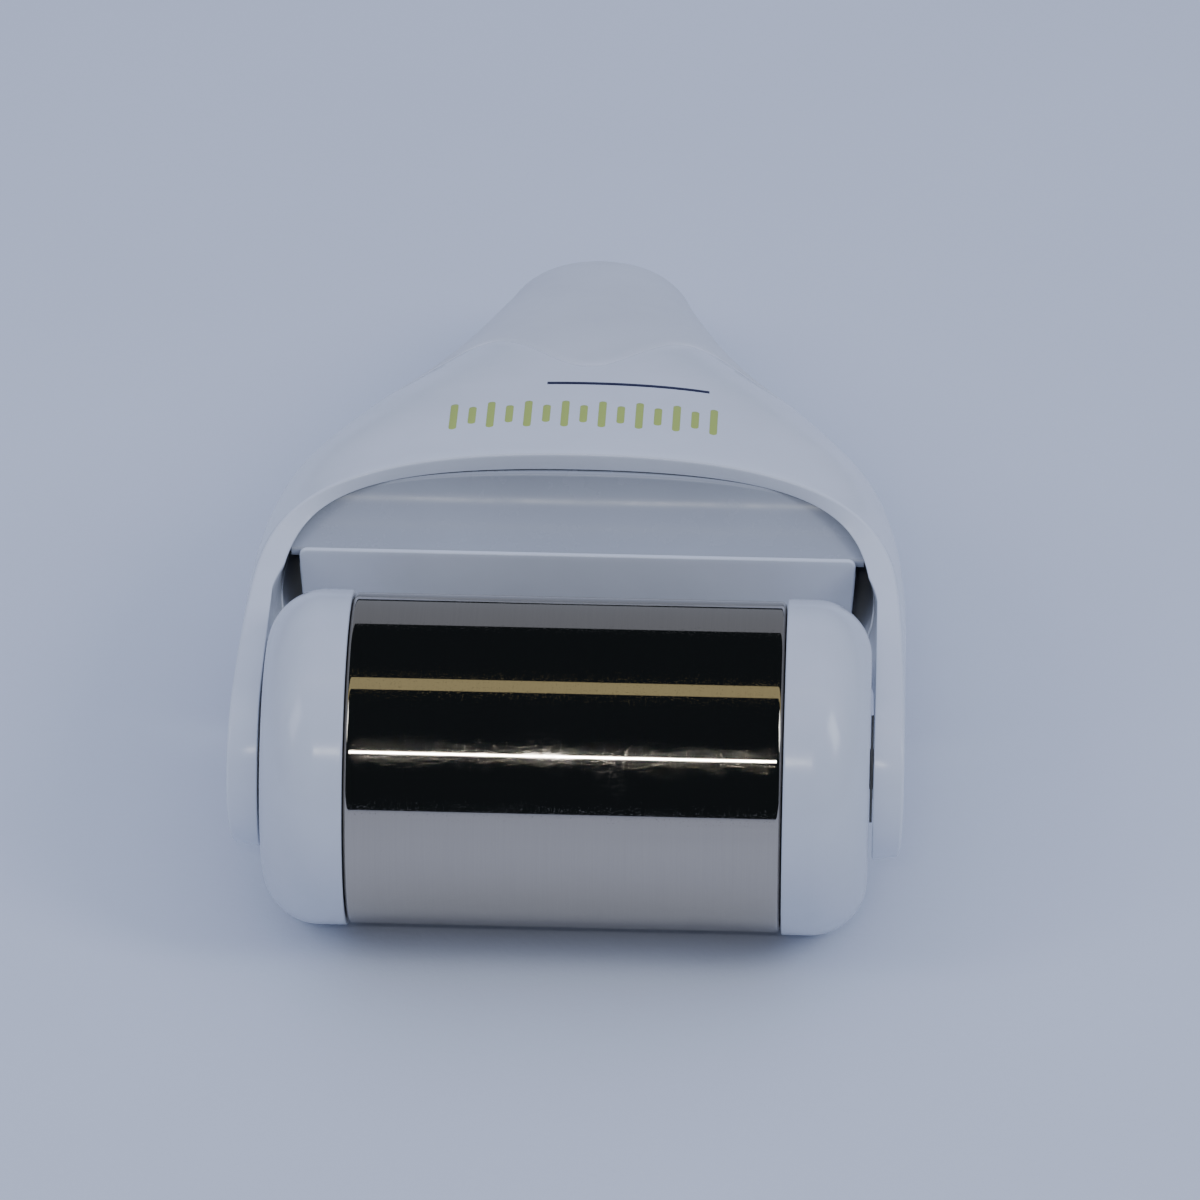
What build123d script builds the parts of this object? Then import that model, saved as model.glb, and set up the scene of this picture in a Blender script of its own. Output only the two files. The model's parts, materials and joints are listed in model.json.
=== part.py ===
from build123d import *
import os
from math import cos, pi, sqrt

# Cold facial and body roller: a chilled steel barrel between two plastic caps,
# turning in a one-piece yoke that flares into a two-shell handle.
# Working frame: the axle runs along X through (0, 0), +Y runs from the roller to
# the handle end and +Z is up.  place() then stands the part on Z = 0.

# ---- Driving dimensions, millimetres ----
ROLLER_RADIUS = 25.0  # the caps, which the roller runs on
BARREL_RADIUS = 24.7
BARREL_WALL = 1.0
BARREL_LENGTH = 64.4
BARREL_EDGE = 0.8  # rounding of the barrel's outer edges
ROLLER_WIDTH = 90.0
CAP_CORNER = 8.5
CAP_WALL = 2.6
SEAM_GAP = 0.15  # between a cap and the barrel, and round the shell joints

SHAFT_RADIUS = 3.0
SHAFT_LENGTH = 96.0
SHAFT_CHAMFER = 0.5
BUSH_WALL = 1.5
HUB_RADIUS = 7.0
HUB_WALL = 1.5
HUB_START = 1.0  # the hub and its bearing start this far in from the cap's mouth
FLANGE_RADIUS = 6.6  # the bearing's flange
FLANGE_THICK = 0.9
CORE_OUTER = 9.0
CORE_WALL = 1.2

HALF_WIDTHS = [  # (distance behind the axle, half width): arms, bell flare, grip
    (-14.0, 50.15),
    (15.0, 50.1),
    (35.0, 49.8),
    (50.0, 48.2),
    (62.0, 44.8),
    (75.0, 37.5),
    (88.0, 28.8),
    (101.0, 22.6),
    (115.0, 18.4),
    (130.0, 15.4),
    (152.0, 13.6),
]
CORE_FRONT = -20.0  # the cores start ahead of the arms, so that the arms stay open there
ARM_WALL = 4.5
SHELL_WALL = 3.0
CROWN_FRONT = 48.0  # front edge of the crown on the centre line
CROWN_TOP = 23.1
TOP_SLOPE = 0.10
TOP_BEND = 0.00172
SEAM_HEIGHT = 5.0  # line where the upper and lower shells meet
SEAM_BEND_START = 75.0
SEAM_BEND = 0.0042
BELLY_TOP = -10.6
BELLY_MIDDLE = 64.0
BELLY_BEND = 0.0029
BUTT_END = 151.5
BUTT_ROUNDING = 18.5
BUTT_FLAT = 0.225  # what the rounding leaves flat at the very end
ARM_RISE = 0.012  # above and below the arms the sections open out, so that their
ARM_DIP = 0.020  # sides stay nearly upright
CROWN_FULLNESS = 0.67
GRIP_FULLNESS = 0.60
INNER_FULLNESS = 0.08  # the inner form is this much squarer, so the walls thin at the shoulders
FULL_FRONT = 60.0  # the sections turn from crown to grip between these two
FULL_BACK = 130.0

LUG_RADIUS = 13.0  # round end of each arm, about the axle
ARCH_START = 30.0  # where the arms' upper edge turns up into the crown's front
ARCH_RADIUS = 20.9
BAY_HALF = 45.55  # the roller runs between the arms' flat inner faces
BAY_BACK = 27.0
THROAT_HALF = 44.2  # the bay stays open down to the floor as far as the rear wall
SPLIT_FRONT = 34.0  # the lower shell starts here
SPLIT_RADIUS = 9.0
WAVE_MIDDLE = 86.2  # parting line between the crown and the grip cover
WAVE_SWING = 6.6
WAVE_LENGTH = 32.0

WALL_FRONT = 36.0  # front face of the wall behind the roller
WALL_THICK = 2.5
WALL_HALF = 42.2
WALL_TOP = 10.6
LIP_THICK = 0.9
LIP_TOP = 12.5
COVE_FRONT = WALL_FRONT + LIP_THICK + SEAM_GAP
COVE_TOP = (46.9, 20.9)  # where the cove meets the underside of the arch
COVE_WAIST = (43.3, 14.2)
COVE_EDGE = 12.3

SCREW_SPOTS = [(-21.0, 60.0), (21.0, 60.0), (0.0, 104.0), (0.0, 132.0)]
SCREW_RADIUS = 1.45
SCREW_HEAD_RADIUS = 2.8
SCREW_HEAD_HEIGHT = 2.0
SCREW_LENGTH = 13.0
SCREW_SOCKET = 1.2
SCREW_SEAT = 5.5  # height of the head's seat above the belly
BOSS_RADIUS = 3.9
BOSS_SHORT = 4.0
PLUG_RADIUS = 2.9
PLUG_DEPTH = 1.6
HOLE_GAP = 0.2
TIGHT_GAP = 0.02  # fits that press or cut into each other
SLIP_GAP = 0.05  # parts that slide together
FAR = 200.0  # cutting shapes reach this far, past the whole part
DEEP = 60.0  # and this far above or below the axle

BULKHEAD_INNER = 24.0  # each bulkhead closes the barrel between these two
BULKHEAD_OUTER = 30.0
CORE_HALF = 29.5
SEAL_PLACE = 27.0
SEAL_RADIUS = 0.85
GROOVE_WIDTH = 2.0
SPIGOT_START = 30.15
FILL_RADIUS = 2.5
FILL_PLACE = 16.0
WASHER_RADIUS = 8.0
WASHER_THICK = 0.4
BUSH_END = 48.2

AXLE_Z = ROLLER_RADIUS
AXLE_Y = (ROLLER_RADIUS - (BUTT_END - BUTT_FLAT)) / 2
SIDES = {"left": -1, "right": 1}


def place(shape):
    """Move a shape from the working frame to the part's own frame."""
    return Pos(0, AXLE_Y, AXLE_Z) * shape


def write(name, shape):
    """Write one node, as a compound of its separate solids."""
    solids = place(shape).solids()
    export_step(Compound(children=list(solids)), f"parts/{name}.step")


# ---- Outer form of the yoke and handle ----
def half_width(y):
    """Smooth curve through HALF_WIDTHS: a cubic between each pair of points."""
    last = len(HALF_WIDTHS) - 1
    i = min(max(sum(y >= p[0] for p in HALF_WIDTHS) - 1, 0), last - 1)

    def slope(k):
        before = HALF_WIDTHS[max(k - 1, 0)]
        after = HALF_WIDTHS[min(k + 1, last)]
        return (after[1] - before[1]) / (after[0] - before[0])

    (y0, w0), (y1, w1) = HALF_WIDTHS[i], HALF_WIDTHS[i + 1]
    span = y1 - y0
    t = (y - y0) / span
    rise = (2 * t**3 - 3 * t**2 + 1) * w0 + (3 * t**2 - 2 * t**3) * w1
    return rise + span * ((t**3 - 2 * t**2 + t) * slope(i) + (t**3 - t**2) * slope(i + 1))


def fullness(y):
    """How square a section is: 0.55 would make it an ellipse."""
    share = min(max((y - FULL_FRONT) / (FULL_BACK - FULL_FRONT), 0), 1)
    return CROWN_FULLNESS + (GRIP_FULLNESS - CROWN_FULLNESS) * share


def top_line(y):
    d = y - CROWN_FRONT
    bend = TOP_BEND if d > 0 else -ARM_RISE
    return CROWN_TOP - TOP_SLOPE * d - bend * d * d


def seam_line(y):
    d = max(y - SEAM_BEND_START, 0)
    return SEAM_HEIGHT - SEAM_BEND * d * d


def belly_line(y):
    dip = ARM_DIP * max(SPLIT_FRONT - y, 0) ** 2
    return BELLY_TOP - BELLY_BEND * (y - BELLY_MIDDLE) ** 2 - dip


def quadrant(y, square, seam, start, end):
    """A quarter of a section, upright where it meets the seam and level at x = 0."""
    x = start[0] + end[0]
    z = (start[1] if start[0] == 0 else end[1]) - seam
    upright = (x, y, seam + square * z)
    level = (x * square, y, seam + z)
    handles = [upright, level] if start[0] else [level, upright]
    return Bezier((start[0], y, start[1]), *handles, (end[0], y, end[1]))


def section(y, side_wall, skin, squarer):
    """Closed section across the body at y, drawn in by the two wall thicknesses."""
    end = BUTT_END - skin
    reach = min(max((y - (BUTT_END - BUTT_ROUNDING)) / (end - BUTT_END + BUTT_ROUNDING), 0), 1)
    shrink = sqrt(1 - reach * reach)
    middle = (top_line(y) + belly_line(y)) / 2
    half = (half_width(y) - side_wall) * shrink
    top = middle + (top_line(y) - skin - middle) * shrink
    belly = middle + (belly_line(y) + skin - middle) * shrink
    seam = middle + (seam_line(y) - middle) * shrink
    corners = [
        ((half, seam), (0, top)),
        ((0, top), (-half, seam)),
        ((-half, seam), (0, belly)),
        ((0, belly), (half, seam)),
    ]
    square = fullness(y) + squarer
    return make_face([quadrant(y, square, seam, start, end) for start, end in corners])


def body(side_wall=0.0, skin=0.0, front=HALF_WIDTHS[0][0], squarer=0.0):
    """Solid inside the outer form, or inside it by a wall thickness."""
    tail = BUTT_END - skin
    stations = [front, 0, 10, 20, 29, 38, 46, 54, 62, 74, 86, 98, 110, 122, 131]
    stations += [tail - BUTT_ROUNDING * k for k in (0.7, 0.4, 0.18, 0.06)]
    stations += [tail - BUTT_FLAT]
    return loft([section(y, side_wall, skin, squarer) for y in stations])


def side_prism(edges, half=80.0):
    """Block along X over a closed outline in the (Y, Z) plane."""
    return extrude(Plane.YZ * make_face(edges), amount=half, both=True)


def arm_and_crown_side():
    """What the arms and the crown keep of the outer form, seen from the side."""
    arch_centre = LUG_RADIUS + ARCH_RADIUS
    arch_back = ARCH_START + ARCH_RADIUS
    swing = ARCH_RADIUS / sqrt(2)
    lug = ThreePointArc((0, LUG_RADIUS), (-LUG_RADIUS, 0), (0, -LUG_RADIUS))
    arch = ThreePointArc(
        (arch_back, arch_centre),
        (ARCH_START + swing, arch_centre - swing),
        (ARCH_START, LUG_RADIUS),
    )
    below = Polyline(
        (0, -LUG_RADIUS),
        (WALL_FRONT, -LUG_RADIUS),
        (WALL_FRONT, -FAR),
        (FAR, -FAR),
        (FAR, FAR),
        (arch_back, FAR),
        (arch_back, arch_centre),
    )
    top = Line((ARCH_START, LUG_RADIUS), (0, LUG_RADIUS))
    return side_prism(lug.edges() + below.edges() + arch.edges() + top.edges())


def lower_side(gap):
    """The lower shell's share, below the side seam and behind the arms."""
    front = SPLIT_FRONT + gap
    corner = front + SPLIT_RADIUS
    flat = SEAM_HEIGHT - gap
    seam_stations = [SEAM_BEND_START + k * 10 for k in range(1, 9)]
    seam = Spline(
        (SEAM_BEND_START, flat),
        *[(y, seam_line(y) - gap) for y in seam_stations],
        tangents=((1, 0), (1, -1.34)),
    )
    swing = SPLIT_RADIUS * (1 - 1 / sqrt(2))
    bend = ThreePointArc(
        (front, flat - SPLIT_RADIUS),
        (front + swing, flat - swing),
        (corner, flat),
    )
    level = Line((corner, flat), (SEAM_BEND_START, flat))
    last = seam @ 1
    rest = Polyline(
        (last.X, last.Y), (FAR, last.Y), (FAR, -FAR), (front, -FAR), (front, flat - SPLIT_RADIUS)
    )
    return side_prism(bend.edges() + level.edges() + seam.edges() + rest.edges())


def behind_wave(gap):
    """Everything behind the wavy parting line, drawn in plan."""
    steps = [-2 * WAVE_LENGTH + k * WAVE_LENGTH / 4 for k in range(17)]
    wave = [
        (x, WAVE_MIDDLE + gap - WAVE_SWING * cos(2 * pi * x / WAVE_LENGTH)) for x in steps
    ]
    line = Spline(*wave, tangents=((1, 0), (1, 0)))
    back = Polyline(wave[-1], (wave[-1][0], FAR), (wave[0][0], FAR), wave[0])
    return extrude(make_face(line.edges() + back.edges()), amount=FAR, both=True)


def block(x_half, y_low, y_high, z_low, z_high):
    """Box centred on X = 0, between the given Y and Z."""
    box = Box(2 * x_half, y_high - y_low, z_high - z_low)
    return Pos(0, (y_low + y_high) / 2, (z_low + z_high) / 2) * box


def upright(x, y, radius, low, high):
    """Upright cylinder between two heights."""
    return Pos(x, y, (low + high) / 2) * Cylinder(radius, high - low)


def ring(inner, outer, start, end):
    """Plain ring about the axle."""
    corners = [(start, inner), (start, outer), (end, outer), (end, inner)]
    return revolve(make_face(Polyline(*corners, close=True).edges()), Axis.X)


# ---- Handle assembly ----
OUTER = body()
INNER = body(ARM_WALL, SHELL_WALL, CORE_FRONT, INNER_FULLNESS)
SKIN = OUTER - INNER
GROUND = Pos(0, 0, -ROLLER_RADIUS - FAR / 2) * Box(2 * FAR, 2 * FAR, FAR)
TRIM = body(ARM_WALL + SEAM_GAP, SHELL_WALL + SEAM_GAP, CORE_FRONT, INNER_FULLNESS)


def seat_height(y):
    return belly_line(y) + SCREW_SEAT


def lower_boss(x, y):
    """Short post under each screw, with a counterbore for its head."""
    return upright(x, y, BOSS_RADIUS, -DEEP, seat_height(y) + BOSS_SHORT) & OUTER


def screw_way(x, y):
    seat = seat_height(y)
    head = upright(x, y, SCREW_HEAD_RADIUS + HOLE_GAP, -DEEP, seat)
    shank = upright(x, y, SCREW_RADIUS + HOLE_GAP, seat - 1, seat + BOSS_SHORT + 1)
    return head + shank


def upper_boss(x, y):
    """Post that hangs from the upper wall and takes the screw's thread."""
    start = seat_height(y) + BOSS_SHORT + SEAM_GAP
    post = upright(x, y, BOSS_RADIUS, start, DEEP) & OUTER
    hole = upright(x, y, SCREW_RADIUS + TIGHT_GAP, start - 1, seat_height(y) + SCREW_LENGTH + 0.5)
    return post - hole


def upper_shell():
    """Crown and both arms in one moulding."""
    shell = SKIN & arm_and_crown_side()
    shell = shell - lower_side(0.0) - behind_wave(0.0)
    shell = shell - block(BAY_HALF, -DEEP, BAY_BACK, -DEEP, DEEP)
    shell = shell - block(THROAT_HALF, BAY_BACK - 1, WALL_FRONT, -DEEP, SEAM_HEIGHT)
    for x, y in SCREW_SPOTS[:2]:
        shell = shell + upper_boss(x, y)
    for side in SIDES.values():
        shell = shell - Rot(0, 90 * side, 0) * upright(0, 0, SHAFT_RADIUS + BUSH_WALL, THROAT_HALF, BUSH_END)
    return shell


def grip_cover():
    """Upper half of the handle, behind the wavy line."""
    cover = (SKIN & behind_wave(SEAM_GAP)) - lower_side(0.0)
    for x, y in SCREW_SPOTS[2:]:
        cover = cover + upper_boss(x, y)
    return cover - GROUND


def lower_shell():
    """Underside of the handle with the wall behind the roller and the rest foot."""
    shell = SKIN & lower_side(SEAM_GAP)
    wall = block(WALL_HALF, WALL_FRONT, WALL_FRONT + WALL_THICK, -DEEP, WALL_TOP)
    lip = block(WALL_HALF, WALL_FRONT, WALL_FRONT + LIP_THICK, 0, LIP_TOP)
    shell = shell + ((wall + lip) & OUTER)
    for x, y in SCREW_SPOTS:
        shell = shell + lower_boss(x, y)
    for x, y in SCREW_SPOTS:
        shell = shell - screw_way(x, y)
    return shell - GROUND


def front_bridge():
    """Coved strip between the arch and the wall, under the crown's front edge."""
    arc = ThreePointArc((COVE_FRONT, COVE_EDGE), COVE_WAIST, COVE_TOP)
    under = WALL_TOP + SEAM_GAP
    back = Polyline(
        COVE_TOP, (50.0, 24.0), (51.5, 18.0), (47.0, under), (COVE_FRONT, under), (COVE_FRONT, COVE_EDGE)
    )
    strip = side_prism(arc.edges() + back.edges())
    return (strip & TRIM) & arm_and_crown_side()


def shell_screws():
    shapes = []
    for x, y in SCREW_SPOTS:
        seat = seat_height(y)
        head = upright(x, y, SCREW_HEAD_RADIUS, seat - SCREW_HEAD_HEIGHT, seat)
        socket = upright(x, y, SCREW_SOCKET, seat - SCREW_HEAD_HEIGHT - 1, seat - 1)
        shank = upright(x, y, SCREW_RADIUS, seat, seat + SCREW_LENGTH)
        shapes.append(head + shank - socket)
    return Compound(children=shapes)


def screw_plugs():
    """Round caps that close the screw holes flush with the underside."""
    shapes = []
    for x, y in SCREW_SPOTS:
        plug = upright(x, y, PLUG_RADIUS, -DEEP, belly_line(y) + PLUG_DEPTH) & OUTER
        shapes.append(plug - GROUND)
    return Compound(children=shapes)


def arm_bush(side):
    return ring(SHAFT_RADIUS + TIGHT_GAP, SHAFT_RADIUS + BUSH_WALL, side * BAY_HALF, side * BUSH_END)


def thrust_washer(side):
    start = BAY_HALF - WASHER_THICK - SLIP_GAP
    return ring(SHAFT_RADIUS + SLIP_GAP, WASHER_RADIUS, side * start, side * (start + WASHER_THICK))


def axle_shaft():
    rod = ring(0, SHAFT_RADIUS, -SHAFT_LENGTH / 2, SHAFT_LENGTH / 2)
    return chamfer(rod.edges().filter_by(GeomType.CIRCLE), SHAFT_CHAMFER)


# ---- Roller ----
def roller_barrel():
    half = BARREL_LENGTH / 2
    tube = ring(BARREL_RADIUS - BARREL_WALL, BARREL_RADIUS, -half, half)
    rims = [e for e in tube.edges().filter_by(GeomType.CIRCLE) if e.radius > BARREL_RADIUS - 0.01]
    return fillet(rims, BARREL_EDGE)


def roller_cap(side):
    """Hollow end cap: rounded outside, hub inside, short spigot in the barrel."""
    start = BARREL_LENGTH / 2 + SEAM_GAP
    end = ROLLER_WIDTH / 2
    turn = end - CAP_CORNER
    inner = ROLLER_RADIUS - CAP_WALL
    bore = BARREL_RADIUS - BARREL_WALL - 2 * SLIP_GAP
    slope = CAP_CORNER / sqrt(2)
    inner_slope = (CAP_CORNER - CAP_WALL) / sqrt(2)
    shoulder = ROLLER_RADIUS - CAP_CORNER
    hub = HUB_RADIUS
    hole = HUB_RADIUS - HUB_WALL
    outside = ThreePointArc(
        (side * turn, ROLLER_RADIUS),
        (side * (turn + slope), shoulder + slope),
        (side * end, shoulder),
    )
    inside = ThreePointArc(
        (side * (end - CAP_WALL), shoulder),
        (side * (turn + inner_slope), shoulder + inner_slope),
        (side * turn, inner),
    )
    face = Polyline(
        *[
            (side * x, r)
            for x, r in (
                (end, shoulder),
                (end, hole),
                (start + HUB_START, hole),
                (start + HUB_START, hub),
                (end - CAP_WALL, hub),
                (end - CAP_WALL, shoulder),
            )
        ]
    )
    skirt = Polyline(
        *[
            (side * x, r)
            for x, r in (
                (turn, inner),
                (start, inner),
                (SPIGOT_START, inner),
                (SPIGOT_START, bore),
                (start, bore),
                (start, ROLLER_RADIUS),
                (turn, ROLLER_RADIUS),
            )
        ]
    )
    return revolve(make_face(outside.edges() + face.edges() + inside.edges() + skirt.edges()), Axis.X)


def cap_bearing(side):
    """Flanged plain bearing pressed into the cap's hub."""
    start = BARREL_LENGTH / 2 + SEAM_GAP + HUB_START
    bore = SHAFT_RADIUS + SLIP_GAP
    sleeve = ring(bore, HUB_RADIUS - HUB_WALL, side * start, side * (ROLLER_WIDTH / 2 - 2 * SLIP_GAP))
    flange = ring(bore, FLANGE_RADIUS, side * (start - FLANGE_THICK), side * start)
    return sleeve + flange


def end_bulkhead(side):
    """Disc that seals the barrel, grooved for its two rings."""
    outer = BARREL_RADIUS - BARREL_WALL - SLIP_GAP
    bore = CORE_OUTER + SLIP_GAP
    disc = ring(bore, outer, side * BULKHEAD_INNER, side * BULKHEAD_OUTER)
    low = SEAL_PLACE - GROOVE_WIDTH / 2
    high = SEAL_PLACE + GROOVE_WIDTH / 2
    depth = 2 * SEAL_RADIUS + SLIP_GAP
    disc = disc - ring(outer - depth, outer + 1, side * low, side * high)
    disc = disc - ring(bore - 1, bore + depth, side * low, side * high)
    if side > 0:
        hole = Pos(0, 0, FILL_PLACE) * Rot(0, 90, 0) * Cylinder(FILL_RADIUS + SLIP_GAP, 2 * DEEP)
        disc = disc - hole
    return disc


def seal(side, outer):
    """Rubber ring in a bulkhead groove."""
    wall = BARREL_RADIUS - BARREL_WALL - SLIP_GAP if outer else CORE_OUTER + SLIP_GAP
    middle = wall - SEAL_RADIUS - TIGHT_GAP if outer else wall + SEAL_RADIUS + TIGHT_GAP
    return Pos(side * SEAL_PLACE, 0, 0) * Rot(0, 90, 0) * Torus(middle, SEAL_RADIUS)


def fill_plug():
    """Plug of the hole that the barrel is filled through."""
    length = BULKHEAD_OUTER - BULKHEAD_INNER - 0.2
    middle = (BULKHEAD_OUTER + BULKHEAD_INNER) / 2
    return Pos(middle, 0, FILL_PLACE) * Rot(0, 90, 0) * Cylinder(FILL_RADIUS, length)


def write_handle():
    write("upper_shell", upper_shell())
    write("lower_shell", lower_shell())
    write("grip_cover", grip_cover())
    write("front_bridge", front_bridge())
    write("shell_screws", shell_screws())
    write("screw_plugs", screw_plugs())
    write("axle_shaft", axle_shaft())
    for name, side in SIDES.items():
        write(f"arm_bush_{name}", arm_bush(side))
        write(f"thrust_washer_{name}", thrust_washer(side))


def write_roller():
    write("roller_barrel", roller_barrel())
    write("core_tube", ring(CORE_OUTER - CORE_WALL, CORE_OUTER, -CORE_HALF, CORE_HALF))
    gel_half = BULKHEAD_INNER - 2 * SLIP_GAP
    gel_outer = BARREL_RADIUS - BARREL_WALL - SLIP_GAP
    write("gel_core", ring(CORE_OUTER + SLIP_GAP, gel_outer, -gel_half, gel_half))
    write("fill_plug", fill_plug())
    for name, side in SIDES.items():
        write(f"roller_cap_{name}", roller_cap(side))
        write(f"cap_bearing_{name}", cap_bearing(side))
        write(f"end_bulkhead_{name}", end_bulkhead(side))
        write(f"outer_seal_{name}", seal(side, True))
        write(f"inner_seal_{name}", seal(side, False))


os.makedirs("parts", exist_ok=True)
write_handle()
write_roller()
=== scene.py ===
import json
from math import cos, pi, radians, sin, sqrt

import bmesh
import bpy
import numpy as np
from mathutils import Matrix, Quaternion, Vector
from mathutils.geometry import delaunay_2d_cdt


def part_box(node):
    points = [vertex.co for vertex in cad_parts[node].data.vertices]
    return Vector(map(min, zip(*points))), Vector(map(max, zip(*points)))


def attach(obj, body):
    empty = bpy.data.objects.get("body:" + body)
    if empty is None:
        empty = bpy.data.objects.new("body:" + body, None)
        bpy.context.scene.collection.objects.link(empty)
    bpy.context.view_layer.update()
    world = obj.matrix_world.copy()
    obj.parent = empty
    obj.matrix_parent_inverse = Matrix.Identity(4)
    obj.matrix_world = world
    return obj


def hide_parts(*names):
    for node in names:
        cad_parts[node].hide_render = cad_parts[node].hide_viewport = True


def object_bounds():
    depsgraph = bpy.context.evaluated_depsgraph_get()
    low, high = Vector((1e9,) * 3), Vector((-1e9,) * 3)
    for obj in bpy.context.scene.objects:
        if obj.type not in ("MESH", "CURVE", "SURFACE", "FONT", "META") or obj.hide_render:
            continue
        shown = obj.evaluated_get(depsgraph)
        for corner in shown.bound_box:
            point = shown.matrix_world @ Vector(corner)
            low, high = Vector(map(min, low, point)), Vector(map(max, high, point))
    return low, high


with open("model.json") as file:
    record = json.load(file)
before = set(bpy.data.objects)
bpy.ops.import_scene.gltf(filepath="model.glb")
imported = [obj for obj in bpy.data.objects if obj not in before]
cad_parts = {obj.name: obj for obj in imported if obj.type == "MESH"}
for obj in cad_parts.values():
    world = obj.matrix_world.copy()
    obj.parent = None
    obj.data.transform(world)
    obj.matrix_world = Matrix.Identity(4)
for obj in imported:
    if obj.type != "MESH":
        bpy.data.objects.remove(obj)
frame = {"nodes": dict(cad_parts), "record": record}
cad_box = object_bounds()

MM = 0.001


# ---- Places, from the frame ----
def node_box(name):
    low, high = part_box(name)
    return Vector(low), Vector(high)


barrel_low, barrel_high = node_box("roller_barrel")
cap_low, cap_high = node_box("roller_cap_right")
AXLE = (barrel_low + barrel_high) / 2
ROLLER_RADIUS = (cap_high.z - cap_low.z) / 2 / MM
BARREL_RADIUS = (barrel_high.z - barrel_low.z) / 2 / MM
BARREL_HALF = (barrel_high.x - barrel_low.x) / 2 / MM
CAP_END = cap_high.x / MM
BUTT_END = (Vector(cad_box[1]).y - AXLE.y) / MM


def world_point(x, y, z):
    """Metres in the row frame, from millimetres about the axle's middle."""
    return AXLE + Vector((x, y, z)) * MM


# ---- Outer form of the yoke and handle: the CAD's formulas, in millimetres about the axle ----
HALF_WIDTHS = [  # distance behind the axle, and half width
    (-14.0, 50.15), (15.0, 50.1), (35.0, 49.8), (50.0, 48.2), (62.0, 44.8), (75.0, 37.5),
    (88.0, 28.8), (101.0, 22.6), (115.0, 18.4), (130.0, 15.4), (152.0, 13.6),
]
CROWN_FRONT = 48.0
CROWN_TOP = 23.1
TOP_SLOPE = 0.10
TOP_BEND = 0.00172
ARM_RISE = 0.012  # above and below the arms the sections open out
ARM_DIP = 0.020
SEAM_HEIGHT = 5.0  # line where the upper and lower shells meet
SEAM_BEND_START = 75.0
SEAM_BEND = 0.0042
BELLY_TOP = -10.6
BELLY_MIDDLE = 64.0
BELLY_BEND = 0.0029
BUTT_ROUNDING = 18.5
BUTT_START = BUTT_END - BUTT_ROUNDING
V_END = BUTT_START + BUTT_ROUNDING * pi / 2
CROWN_FULLNESS = 0.67
GRIP_FULLNESS = 0.60
FULL_FRONT = 60.0  # the sections turn from crown to grip between these two
FULL_BACK = 130.0
GROUND = -ROLLER_RADIUS

ARM_WALL = 4.5
SHELL_WALL = 3.0
FOOT_WALL = 1.2  # under the flat foot that the handle rests on
INNER_FULLNESS = 0.08  # the inner form is this much squarer than the outer
BAY_HALF = 45.6  # the arms' inner faces are flat as far back as BAY_BACK
BAY_BACK = 26.0
BAY_EASE = 32.0  # and run into the round form by here

LUG_RADIUS = 13.0  # round end of each arm, about the axle
LUG_JOIN = -60.0  # degrees round the lug, where the arm's lower edge meets it
ARM_HEEL = -4.0  # height of that lower edge at its back end
ARCH_START = 30.0  # where the arms' upper edge turns up into the crown's front
ARCH_RADIUS = 20.9
ARCH_LIMIT = 50.6  # the crown's front edge lies ahead of this
SPLIT_FRONT = 34.0  # the lower shell starts here
SPLIT_RADIUS = 9.0
WAVE_MIDDLE = 86.2  # parting line between the crown and the handle's cover
WAVE_SWING = 6.6
WAVE_LENGTH = 32.0
WAVE_CORNERS = (82.0, 84.0)  # where the crown and the cover leave the side seam for the wave

WALL_FRONT = 36.0  # front face of the wall behind the roller
WALL_THICK = 2.5
WALL_HALF = 42.2
WALL_TOP = 10.6
WALL_CORNER = 1.2
WALL_ROOT = 1.0  # how far the wall reaches into the floor of the lower shell
LIP_THICK = 0.9
LIP_TOP = 12.5
COVE = [(37.05, 12.3), (43.3, 14.2), (46.9, 20.9)]  # edge, waist and top of the coved strip
COVE_THICK = 1.4

GAP = 0.15  # between a cap and the barrel, and half of a parting line
SLIP_GAP = 0.05
RIM = 0.55  # radius of the moulded edges, outside
INNER_RIM = 0.2  # and inside


def half_width(y):
    last = len(HALF_WIDTHS) - 1
    i = min(max(sum(y >= p[0] for p in HALF_WIDTHS) - 1, 0), last - 1)

    def slope(k):
        before = HALF_WIDTHS[max(k - 1, 0)]
        after = HALF_WIDTHS[min(k + 1, last)]
        return (after[1] - before[1]) / (after[0] - before[0])

    (y0, w0), (y1, w1) = HALF_WIDTHS[i], HALF_WIDTHS[i + 1]
    span = y1 - y0
    t = (y - y0) / span
    rise = (2 * t**3 - 3 * t**2 + 1) * w0 + (3 * t**2 - 2 * t**3) * w1
    return rise + span * ((t**3 - 2 * t**2 + t) * slope(i) + (t**3 - t**2) * slope(i + 1))


def top_line(y):
    back = y - CROWN_FRONT
    bend = TOP_BEND if back > 0 else -ARM_RISE
    return CROWN_TOP - TOP_SLOPE * back - bend * back**2


def seam_line(y):
    return SEAM_HEIGHT - SEAM_BEND * max(y - SEAM_BEND_START, 0) ** 2


def belly_line(y):
    dip = ARM_DIP * max(SPLIT_FRONT - y, 0) ** 2
    return BELLY_TOP - BELLY_BEND * (y - BELLY_MIDDLE) ** 2 - dip


def fullness(y):
    share = min(max((y - FULL_FRONT) / (FULL_BACK - FULL_FRONT), 0), 1)
    return CROWN_FULLNESS + (GRIP_FULLNESS - CROWN_FULLNESS) * share


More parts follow.
